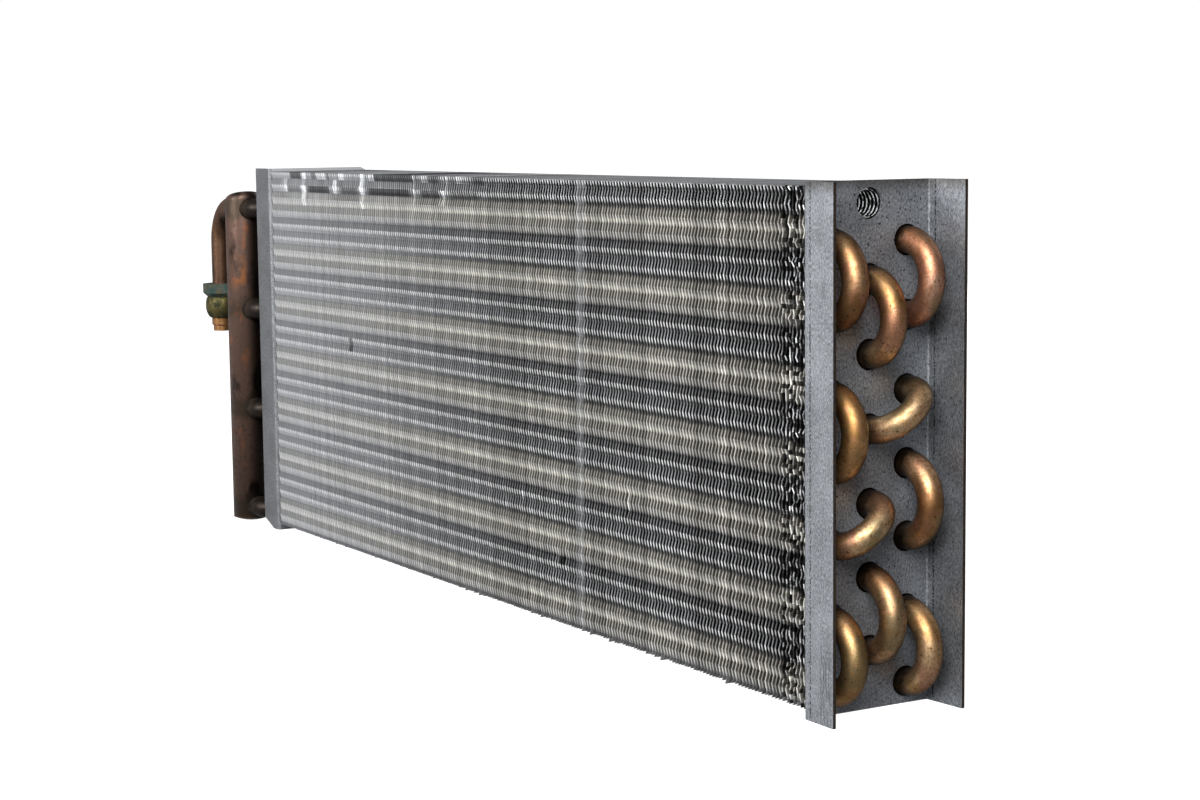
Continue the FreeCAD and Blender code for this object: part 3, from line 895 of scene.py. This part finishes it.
@dataclass
class FinPack:
    """The pressed stack of rippled plate fins, with the knocks that it has taken."""

    pitch: float = 2.06
    thickness: float = 0.13
    ripple: float = 0.6
    ripples: int = 28
    facets_per_ripple: int = 2
    seed: int = 41
    mangled_x: float = -14.5
    opened_fins: int = 12
    hole_radius: float = 5.25
    collar_mouth: float = 4.8
    collar_length: float = 0.95
    collar_sides: int = 24
    opened_columns: int = 8
    opening: float = 6.35
    top_strip: float = 0.6
    raised_foot: float = 1.55
    foot_fall: float = 0.85
    facet_mm: float = 3.175
    lean: float = 0.1
    jitter: float = 0.04
    mangling: float = 0.55
    tone: float = 0.87
    tone_spread: tuple[float, float] = (-0.36, 0.32)
    facet_spread: tuple[float, float] = (-0.14, 0.12)
    mangled_tones: tuple[float, ...] = (0.06, 0.2, 0.7, 1.3, 1.9)
    knocks: tuple[Knock, ...] = tuple(Knock(*hit) for hit in (
        (-115, 58, 1.6, 6, 0.7, 2.2), (-165, 28.7, 3, 2.2, -1, 0.22), (-169.5, 29.5, 1.3, 2.2, 0.6, 1.7),
        (-198, 51, 1.3, 2.2, 0.6, 1.8), (-212, 44.5, 1.3, 3, 0.6, 1.6), (-292, 6.5, 1.3, 2.6, 0.5, 1.5),
        (-196, 6, 1.3, 2.6, 0.5, 1.5), (-361.6, 100, 2.5, 3.4, 0.8, 0.4),
        (-420.5, 178.4, 7.5, 3.6, -0.9, 0.28), (-392, 178.4, 12, 3.6, -0.6, 0.5),
        (-312.5, 178.4, 26, 3.6, -0.9, 0.26), (-274.5, 178.4, 8, 3.6, 0.7, 0.45),
        (-232, 178.4, 7, 3.6, 0.5, 0.5), (-423, 170.4, 9, 2.2, -0.7, 0.55),
        (-394, 170.4, 15, 2.2, -1, 0.24), (-359.5, 170.4, 11.5, 2.2, 0.9, 0.36),
        (-317, 170.4, 27, 2.2, -1, 0.22), (-275, 170.4, 12, 2.2, 0.8, 0.32),
        (-244.5, 170.4, 14, 2.2, 0.5, 0.55), (-435, 173, 4, 4, 0.9, 1.8),
        (-410.5, 171.5, 2.6, 8.5, -0.9, 2.3), (-391, 177, 6.5, 1.8, 0.8, 1.8),
        (-375, 172, 2.6, 3.6, 0.8, 2.5), (-368.3, 177.4, 3.4, 2.4, 0.9, 2.2),
        (-345, 171.5, 2.8, 8, -0.8, 2.6), (-335.5, 177.5, 3.4, 2.2, 0.8, 2.2),
        (-292, 172, 1.6, 7.5, 0.7, 1.7), (-282, 177.4, 3, 1.8, 0.7, 1.8), (-265, 169.5, 2.8, 3.2, 0.8, 2.3),
        (-261, 177, 1.6, 5, 0.7, 1.9), (-249, 177.6, 4, 2.2, 0.7, 2), (-320, 160, 40, 1.2, 0.3, 0.8),
        (-284, 163, 14, 1.4, 0.4, 1.5),
    ))

    def upright_grid(self, bm: BMesh, x: float, columns: int, rows: int) -> None:
        """Adds a flat upright grid of the fin's size.

        Args:
            bm: the mesh that takes it.
            x: its place along the coil, in millimetres from the datum.
            columns: how many faces it has from front to back.
            rows: how many faces it has from foot to top.
        """
        half_depth, half_height = PATTERN.fin_depth / 2 * MM, PATTERN.fin_height / 2 * MM
        upright = Matrix(((0, 0, 1), (1, 0, 0), (0, 1, 0))).to_4x4()
        centre = at(x, PATTERN.sheet, PATTERN.overhang) + Vector((0.0, half_depth, half_height))
        stretch = Matrix.Diagonal((half_depth, half_height, 1.0, 1.0))
        bmesh.ops.create_grid(bm, x_segments=columns, y_segments=rows, size=1.0,
                              matrix=Matrix.Translation(centre) @ upright @ stretch)

    def struck(self, x: float, z: float) -> tuple[float, float]:
        """Adds up what the knocks do to a place on the front.

        Args:
            x: the place along the coil, in millimetres from the datum.
            z: its height.

        Returns:
            How far it is pushed, in millimetres, and its painted tone, bright for a highlight and dark for
            shade.
        """
        push, tone = 0.0, 1.0
        for knock in self.knocks:
            reach = max(abs(x - knock.x) / knock.half_width, abs(z - knock.z) / knock.half_height)
            if reach < 1.0:
                push += knock.push * (1 - reach * reach)
                tone += (knock.tone - tone) * min(1.0, 3.5 * (1 - reach))
        return push, tone

    def open_passage(self, bm: BMesh, x: float) -> list[bmesh.types.BMFace]:
        """Cuts the unused tube's hole through a flat fin and draws its collar.

        Args:
            bm: the mesh that holds the one fin.
            x: the fin's place along the coil, in millimetres from the datum.

        Returns:
            The collar's faces.
        """
        centre = at(x, UNUSED_HOLE.y, UNUSED_HOLE.z)
        strip = at(x, 0.0, PATTERN.overhang + PATTERN.fin_height - self.top_strip)
        bmesh.ops.bisect_plane(bm, geom=bm.verts[:] + bm.edges[:] + bm.faces[:], plane_co=strip,
                               plane_no=(0.0, 0.0, 1.0))
        inside = []
        for face in bm.faces:
            away = face.calc_center_median() - centre
            if abs(away.y) < self.opening * MM and -self.opening * MM < away.z < strip.z - centre.z:
                inside.append(face)
        bmesh.ops.delete(bm, geom=inside, context="FACES")
        outer_reach = (self.opening + 0.01) * MM
        rim = [edge for edge in bm.edges if edge.is_boundary
               and all(abs(v.co.y - centre.y) < outer_reach and abs(v.co.z - centre.z) < outer_reach
                       and v.co.z <= strip.z + 1e-6 for v in edge.verts)]
        collar = TubeRun(bm, centre, Vector((1, 0, 0)), self.hole_radius * MM, self.collar_sides)
        bmesh.ops.triangle_fill(bm, use_beauty=True, use_dissolve=False, edges=rim + collar.edges)
        before = set(bm.faces)
        collar.straight(self.collar_length * MM, self.collar_mouth * MM)
        return [face for face in bm.faces if face not in before]

    def one_fin(self, bm: BMesh, x: float, opened: bool, rng: random.Random) -> None:
        """Adds one rippled fin with its real thickness and its own tone.

        Args:
            bm: the mesh that takes the fin.
            x: the fin's place along the coil, in millimetres from the datum.
            opened: whether the unused tube's hole is cut through it.
            rng: the stack's own random numbers.
        """
        wild = rng.uniform(0.6, 1.0) if x > self.mangled_x else 0.0
        rows = self.ripples * self.facets_per_ripple * (2 if wild else 1)
        self.upright_grid(bm, x, self.opened_columns if opened else 1, rows)
        collar = self.open_passage(bm, x) if opened else []
        fixed = {vert for face in collar for vert in face.verts}
        amplitude = self.ripple * rng.uniform(0.9, 1.1)
        lean = rng.uniform(-self.lean, self.lean)
        foot = rng.uniform(0.4, 1.2) if rng.random() < 0.1 and not wild else rng.uniform(-0.2, 0.2)
        foot *= 1.0 + self.foot_fall * x / PATTERN.finned_length
        middle = at(x, PATTERN.sheet + PATTERN.fin_depth / 2, 0.0).y
        shift: dict[int, float] = {}
        for vert in bm.verts:
            if vert in fixed:
                continue
            height = (vert.co.z - DATUM.z) / MM - PATTERN.overhang
            level = round(height * 10)
            if level not in shift:
                shift[level] = rng.uniform(-1.0, 1.0)
            wave = -amplitude * math.cos(2 * math.pi * height * self.ripples / PATTERN.fin_height)
            push = wave * (1 - 0.3 * wild) + lean + shift[level] * (self.jitter + self.mangling * wild)
            if vert.co.y < middle:
                push += self.struck(x, height + PATTERN.overhang)[0] * rng.uniform(0.6, 1.2)
            if opened:
                push = max(-1.0, min(0.9, push))
            vert.co.x += push * MM
            if height < 0.1 and vert.co.y < middle:
                vert.co.z += (self.raised_foot - foot) * MM
        for face in collar:
            face.material_index = 1
        bmesh.ops.solidify(bm, geom=bm.faces[:], thickness=self.thickness * MM)
        self.paint(bm, x, wild, rng)

    def paint(self, bm: BMesh, x: float, wild: float, rng: random.Random) -> None:
        """Writes each facet's tone, with the knocks' painted highlights broken up into patches.

        Args:
            bm: the mesh that holds the one fin.
            x: the fin's place along the coil, in millimetres from the datum.
            wild: how mangled the fin is, from zero to one.
            rng: the stack's own random numbers.
        """
        layer = bm.loops.layers.float_color[FIN_TONE]
        far = min(1.0, -x / PATTERN.finned_length)
        # Painted light: the fins grow slightly lighter and more even towards the far plate.
        own = self.tone + rng.uniform(*self.tone_spread) * (1.0 - 0.85 * far) + 0.1 * far
        facets: dict[int, float] = {}
        for face in bm.faces:
            level = (face.calc_center_median().z - DATUM.z) / MM
            band = int(level / (self.facet_mm / (2 if wild else 1)))
            if band not in facets:
                facets[band] = 1.0 + rng.uniform(*self.facet_spread) * (1.0 - 0.7 * far)
                # Painted light and shade: a mangled fin's facets take tones at random, from near-black shade
                # to bright highlight.
                if wild:
                    facets[band] *= rng.choice(self.mangled_tones)
            mark = self.struck(x, level)[1]
            if mark > 1.0:
                patchy = 0.8 + 1.2 * noise.noise(Vector((x / 2.9, level / 3.6, 0.5)))
                mark = 1.0 + (mark - 1.0) * max(0.2, min(1.2, patchy))
            mark *= own * facets[band]
            for loop in face.loops:
                loop[layer] = (mark, mark, mark, 1.0)

    def build(self, finishes: Finishes) -> None:
        """Builds the whole stack in one piece.

        Args:
            finishes: the finishes.
        """
        rng = random.Random(self.seed)
        count = int(PATTERN.finned_length / self.pitch)
        spacing = PATTERN.finned_length / count
        whole = bmesh.new()
        whole.loops.layers.float_color.new(FIN_TONE)
        mesh = bpy.data.meshes.new("fins_so_far")
        for index in range(count):
            bm = bmesh.new()
            bm.loops.layers.float_color.new(FIN_TONE)
            opened = index < self.opened_fins or index >= count - self.opened_fins
            self.one_fin(bm, -(index + 0.5) * spacing, opened, rng)
            bm.to_mesh(mesh)
            bm.free()
            whole.from_mesh(mesh)
        bpy.data.meshes.remove(mesh)
        piece = Bench.piece(whole, "plate_fins", [finishes["fin"], finishes["collar"]], "fin_aluminium",
                            smooth=False)
        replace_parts(piece, "fin_pack")


@dataclass
class Hairpins:
    """The tubes through the pack, each bent back on itself at the near plate."""

    sides: int = 36
    bend_steps: int = 28
    waist: float = 0.965
    ends: tuple[tuple[str, str], ...] = (
        ("A1", "A2"), ("B2", "B3"), ("C1", "C2"), ("A3", "A4"), ("B4", "C3"), ("A5", "B5"), ("C4", "C5"),
        ("A6", "A7"), ("B6", "B7"), ("C6", "C7"),
    )
    tints: tuple[tuple[int, str], ...] = (
        (1, "brown_bend"), (3, "rosy_bend"), (7, "brown_bend"), (9, "brown_bend"),
    )

    def hairpin(self, number: int, finishes: Finishes) -> None:
        """Builds one hairpin from belled mouth to belled mouth.

        Args:
            number: its number, as in the node's name.
            finishes: the finishes.
        """
        p = PATTERN
        first, second = (p.hole(code) for code in self.ends[number - 1])
        bm = bmesh.new()
        socket = (p.bell_radius - p.wall) * MM
        reach = (p.diagonal_extra if first.y != second.y else 0.0) * MM
        start = at(p.mouth + p.bell_depth, first.y, first.z)
        run = TubeRun(bm, start, Vector((-1, 0, 0)), socket, self.sides)
        run.straight(p.bell_depth * MM)
        run.straight(0.0, p.bell_radius * MM)
        run.direction = Vector((1, 0, 0))
        run.straight(p.bell_depth * MM)
        run.straight(p.bell_cone * MM, p.leg_radius * MM)
        run.straight((at(0.0, first.y, first.z) - run.centre).x)
        run.straight((p.sheet + p.standoff) * MM, p.tube_radius * MM)
        run.straight(reach)
        middle = (first + second) / 2
        reached = (run.centre.x - DATUM.x) / MM
        run.bend(at(reached, middle.y, middle.z), math.pi, self.bend_steps, self.waist)
        run.straight(reach)
        run.straight((p.sheet + p.standoff) * MM, p.leg_radius * MM)
        cone_end = at(p.mouth + p.bell_depth + p.bell_cone, second.y, second.z)
        run.straight((run.centre - cone_end).x)
        run.straight(p.bell_cone * MM, p.bell_radius * MM)
        run.straight(p.bell_depth * MM)
        run.straight(0.0, socket)
        run.straight(-p.bell_depth * MM)
        run.close()
        finish = finishes[dict(self.tints).get(number, "bend")]
        piece = Bench.piece(bm, f"copper_hairpin_{number:02d}", [finish], "bend_copper")
        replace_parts(piece, f"hairpin_{number:02d}")

    def build(self, finishes: Finishes) -> None:
        """Builds every hairpin."""
        for number in range(1, len(self.ends) + 1):
            self.hairpin(number, finishes)


@dataclass
class BrazedJoints:
    """Fillets of filler metal at the belled mouths and round the headers' branches."""

    ring_sides: int = 28
    fillet_sides: int = 8
    mouth_fillet: float = 0.62
    branch_fillet: float = 0.9
    lump: float = 0.12
    past_mouth: float = 0.2
    proud: float = 0.15
    header_radius: float = 9.525
    rear_y: float = 51.4
    front_branches: tuple[str, ...] = ("A1", "A3", "A5", "A7")
    rear_branches: tuple[str, ...] = ("C2", "C3", "C5", "C6")
    outlet_z: float = 84.0
    outlet_radius: float = 6.35
    pipe_above_stub: float = 0.85
    seed: int = 7

    def ring(self, bm: BMesh, centre: Vector, major: float, minor: float,
             saddle_side: float = 0.0) -> None:
        """Adds one lumpy ring of filler about an axis along X.

        Args:
            bm: the mesh that takes it.
            centre: the ring's centre, in metres.
            major: the radius that it runs on, in millimetres.
            minor: how thick it is, in millimetres.
            saddle_side: plus or minus one where it hugs that side of a header, else zero.
        """
        rng = random.Random(self.seed + len(bm.verts))
        profile = bmesh.ops.create_circle(bm, cap_ends=False, segments=self.fillet_sides, radius=minor * MM,
                                          matrix=Matrix.Translation(centre + Vector((0, 0, major * MM)))
                                          @ Matrix.Rotation(math.pi / 2, 4, "X"))
        start = set(profile["verts"])
        edges = list({edge for vert in start for edge in vert.link_edges})
        before = set(bm.verts) - start
        bmesh.ops.spin(bm, geom=list(start) + edges, cent=centre, axis=(1.0, 0.0, 0.0), dvec=(0.0, 0.0, 0.0),
                       angle=2 * math.pi, steps=self.ring_sides, use_merge=True)
        phase, lobes = rng.uniform(0, 6.28), rng.choice((2, 3))
        for vert in bm.verts:
            if vert in before:
                continue
            away = vert.co - centre
            around = math.atan2(away.z, away.y)
            vert.co.x += self.lump * MM * math.sin(lobes * around + phase)
            if saddle_side:
                radius = self.header_radius * MM
                off = min(abs(away.y), 0.98 * radius)
                vert.co.x += saddle_side * (math.sqrt(radius ** 2 - off ** 2) - radius)

    def build(self, finishes: Finishes) -> None:
        """Builds the rings at the mouths and at the branches.

        Args:
            finishes: the finishes.
        """
        mouths = bmesh.new()
        for pair in Hairpins().ends:
            for code in pair:
                place = PATTERN.hole(code)
                self.ring(mouths, at(PATTERN.mouth - self.past_mouth, place.y, place.z),
                          PATTERN.tube_radius + self.proud, self.mouth_fillet)
        Bench.piece(mouths, "brazed_mouths", [finishes["braze"]], "aged_copper")
        branches = bmesh.new()
        near_face, far_face = PATTERN.header_x + self.header_radius, PATTERN.header_x - self.header_radius
        for y, codes in ((PATTERN.header_y, self.front_branches), (self.rear_y, self.rear_branches)):
            for code in codes:
                place = at(near_face, y, PATTERN.hole(code).z)
                self.ring(branches, place, PATTERN.tube_radius, self.branch_fillet, 1.0)
        pipe_z = PATTERN.hole("A1").z + self.pipe_above_stub
        for y, z, radius in ((PATTERN.header_y, pipe_z, PATTERN.tube_radius),
                             (self.rear_y, self.outlet_z, self.outlet_radius)):
            self.ring(branches, at(far_face, y, z), radius, self.branch_fillet, -1.0)
        Bench.piece(branches, "brazed_branches", [finishes["braze"]], "aged_copper")


@dataclass
class FrontHeader:
    """The front header as it is: its top end spun shut by hand, sagging on the pipe's side.

    The shoulder's rings stop short of a full quarter turn, so a small flat is left on top.
    """

    radius: float = 9.52
    shoulder: float = 4.6
    rings: int = 7
    sides: int = 48
    lean: float = 0.17
    sag: float = 0.9
    bowed_from: float = 0.95
    quarter_rings: float = 7.6

    def build(self, finishes: Finishes) -> None:
        """Builds the tube and its closed end in one piece.

        Args:
            finishes: the finishes.
        """
        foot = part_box("front_header")[0].z
        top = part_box("front_header_top_cap")[1].z
        bm = bmesh.new()
        start = at(PATTERN.header_x, PATTERN.header_y, 0.0)
        start.z = foot
        run = TubeRun(bm, start, Vector((0, 0, 1)), self.radius * MM, self.sides)
        straight = top - foot - self.shoulder * MM
        run.straight(straight * 0.9)
        run.straight(straight * 0.1)
        before = 0.0
        for index in range(1, self.rings + 1):
            turn = math.pi / 2 * index / self.quarter_rings
            rise = self.shoulder * math.sin(turn)
            run.straight((rise - before) * MM, self.radius * MM * math.cos(turn) ** 0.5)
            before = rise
        run.close()
        bowed = foot + straight * self.bowed_from
        for vert in bm.verts:
            share = max(0.0, (vert.co.z - bowed) / (top - bowed))
            vert.co.z += share * (self.lean * (vert.co.x - run.centre.x) - self.sag * MM)
        piece = Bench.piece(bm, "closed_header", [finishes["header"]], "patina_copper")
        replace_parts(piece, "front_header", "front_header_top_cap")


@dataclass
class Fitting:
    """Verdigris nut and bellied brass body at the end of the connection pipe."""

    x: float = -521.83
    y: float = 1.8
    nut_top: float = 120.4
    nut_foot: float = 113.6
    nut_chamfer: float = 1.9
    nut_foot_share: float = 0.78
    nut_edge: float = 0.3
    nut_top_share: float = 0.97
    across_flats: float = 16.97
    sides: int = 40
    belly: Profile = (
        (113.65, 7.3), (113.0, 7.9), (111.8, 8.25), (110.0, 8.5), (107.6, 8.5), (105.6, 8.1), (104.0, 7.4),
        (103.0, 6.7), (102.5, 5.9),
    )

    def turned(self, profile: Profile, sides: int) -> BMesh:
        """Builds a closed upright shape from its profile.

        Args:
            profile: height and radius of each ring, in millimetres.
            sides: how many edges a ring has.

        Returns:
            The mesh.
        """
        bm = bmesh.new()
        height, radius = profile[0]
        run = TubeRun(bm, at(self.x, self.y, height), Vector((0, 0, 1)), radius * MM, sides)
        for level, radius in profile[1:]:
            run.straight((level - height) * MM, radius * MM)
            height = level
        run.close()
        return bm

    def build(self, finishes: Finishes) -> None:
        """Builds the nut and the body.

        Args:
            finishes: the finishes.
        """
        corner = self.across_flats / math.sqrt(3)
        nut = self.turned(((self.nut_foot, corner * self.nut_foot_share),
                           (self.nut_foot + self.nut_chamfer, corner), (self.nut_top - self.nut_edge, corner),
                           (self.nut_top, corner * self.nut_top_share)), 6)
        bmesh.ops.rotate(nut, cent=at(self.x, self.y, 0.0), verts=nut.verts[:],
                         matrix=Matrix.Rotation(math.radians(30), 3, "Z"))
        hexagon = Bench.piece(nut, "flare_nut", [finishes["verdigris"]], "verdigris_brass", smooth=False)
        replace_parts(hexagon, "connection_nut")
        body = self.turned(self.belly, self.sides)
        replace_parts(Bench.piece(body, "bellied_body", [finishes["brass"]], "aged_brass"), "connection_body")


@dataclass(frozen=True)
class SoftBox:
    """A square soft light: where it hangs and what it looks at in metres, and its power in watts."""

    name: str
    place: tuple[float, float, float]
    aim: tuple[float, float, float]
    size: float
    power: float

    def hang(self) -> None:
        """Adds the light to the scene."""
        data = bpy.data.lights.new(self.name, "AREA")
        data.shape = "SQUARE"
        data.size = self.size
        data.energy = self.power
        light = bpy.data.objects.new(self.name, data)
        bpy.context.scene.collection.objects.link(light)
        place = Vector(self.place)
        look = (place - Vector(self.aim)).to_track_quat("Z", "Y").to_matrix().to_4x4()
        light.matrix_world = Matrix.Translation(place) @ look


@dataclass
class Studio:
    """Seamless paper, soft boxes and a camera where the photographer stood."""

    yaw: float = 1.03588437
    pitch: float = 0.116127239
    roll: float = -0.01111943
    stand: tuple[float, float, float] = (628.239, -450.492, 198.900)
    focal_px: float = 2334.57
    frame_px: float = 1200.0
    sensor_mm: float = 36.0
    clip: tuple[float, float] = (0.05, 50.0)
    paper_reach: float = 20.0
    room_colour: str = "#eceef2"
    room_light: float = 0.09
    side_glow: float = 0.38
    side: tuple[float, float, float] = (-0.75, -0.65, 0.05)
    table_glow: float = 0.18
    boxes: tuple[SoftBox, ...] = (
        SoftBox("front_box", (-0.15, -1.6, 0.75), (0.0, 0.0, 0.08), 0.9, 33.0),
        SoftBox("right_box", (1.2, -0.95, 1.0), (0.1, 0.0, 0.1), 0.9, 39.0),
        SoftBox("back_box", (-0.9, 1.5, 0.7), (0.0, 0.0, 0.08), 0.9, 22.0),
    )

    def camera(self) -> None:
        """Sets up the camera at the photographed view."""
        data = bpy.data.cameras.new("photo_view")
        data.sensor_width = self.sensor_mm
        data.lens = self.focal_px / self.frame_px * self.sensor_mm
        data.clip_start, data.clip_end = self.clip
        back = Vector((math.sin(self.yaw) * math.cos(self.pitch),
                       -math.cos(self.yaw) * math.cos(self.pitch), math.sin(self.pitch)))
        right = Vector((math.cos(self.yaw), math.sin(self.yaw), 0.0))
        up = back.cross(right)
        c, s = math.cos(self.roll), math.sin(self.roll)
        right, up = c * right + s * up, -s * right + c * up
        turn = Matrix((right, up, back)).transposed().to_4x4()
        camera = bpy.data.objects.new("photo_view", data)
        bpy.context.scene.collection.objects.link(camera)
        camera.matrix_world = Matrix.Translation(at(*self.stand)) @ turn
        bpy.context.scene.camera = camera

    def paper(self) -> None:
        """Rolls out the white floor, kept out of the metals' reflections."""
        bm = bmesh.new()
        bmesh.ops.create_grid(bm, x_segments=1, y_segments=1, size=self.paper_reach)
        mesh = bpy.data.meshes.new("paper_floor")
        bm.to_mesh(mesh)
        bm.free()
        mesh.materials.append(StudioPaper().build())
        floor = bpy.data.objects.new("paper_floor", mesh)
        floor.visible_glossy = False
        floor.visible_diffuse = False
        bpy.context.scene.collection.objects.link(floor)

    def surroundings(self) -> None:
        """Sets a dim room with a pale wall at one side, round a background that the camera sees as white."""
        world = bpy.data.worlds.new("studio")
        bpy.context.scene.world = world
        world.use_nodes = True
        tree = world.node_tree
        way = add_node(tree, "TexCoord", output="Generated")
        toward = add_node(tree, "VectorMath.DOT_PRODUCT", way, Vector(self.side).normalized(), output="Value")
        wall = add_node(tree, "MapRange", toward, 0.25, 0.9, 0.0, self.side_glow)
        height = add_node(tree, "SeparateXYZ", way, output="Z")
        table = add_node(tree, "MapRange", height, 0.0, -0.35, self.room_light,
                         self.room_light + self.table_glow)
        dim = tree.nodes["Background"]
        feed(dim.inputs["Color"], self.room_colour)
        feed(dim.inputs["Strength"], add_node(tree, "Math.ADD", wall, table))
        bright = add_node(tree, "Background", "#ffffff", 1.0)
        seen = add_node(tree, "LightPath", output="Is Camera Ray")
        feed(tree.nodes["World Output"].inputs["Surface"],
             add_node(tree, "MixShader", seen, dim.outputs[0], bright))

    def build(self) -> None:
        """Sets up the paper, the lights, the surroundings and the camera."""
        self.paper()
        for box in self.boxes:
            box.hang()
        self.surroundings()
        bpy.context.scene.view_settings.view_transform = "Standard"
        self.camera()


def main() -> None:
    """Builds and dresses the coil, part by part."""
    logging.basicConfig(level=logging.INFO, format="%(name)s %(message)s")
    finishes = mixed_finishes()
    for group in (EndPlates(), FinPack(), Hairpins(), BrazedJoints(), FrontHeader(), Fitting(), FarSide()):
        LOG.info("building %s", type(group).__name__)
        group.build(finishes)
    Studio().build()


if __name__ == "__main__":
    main()
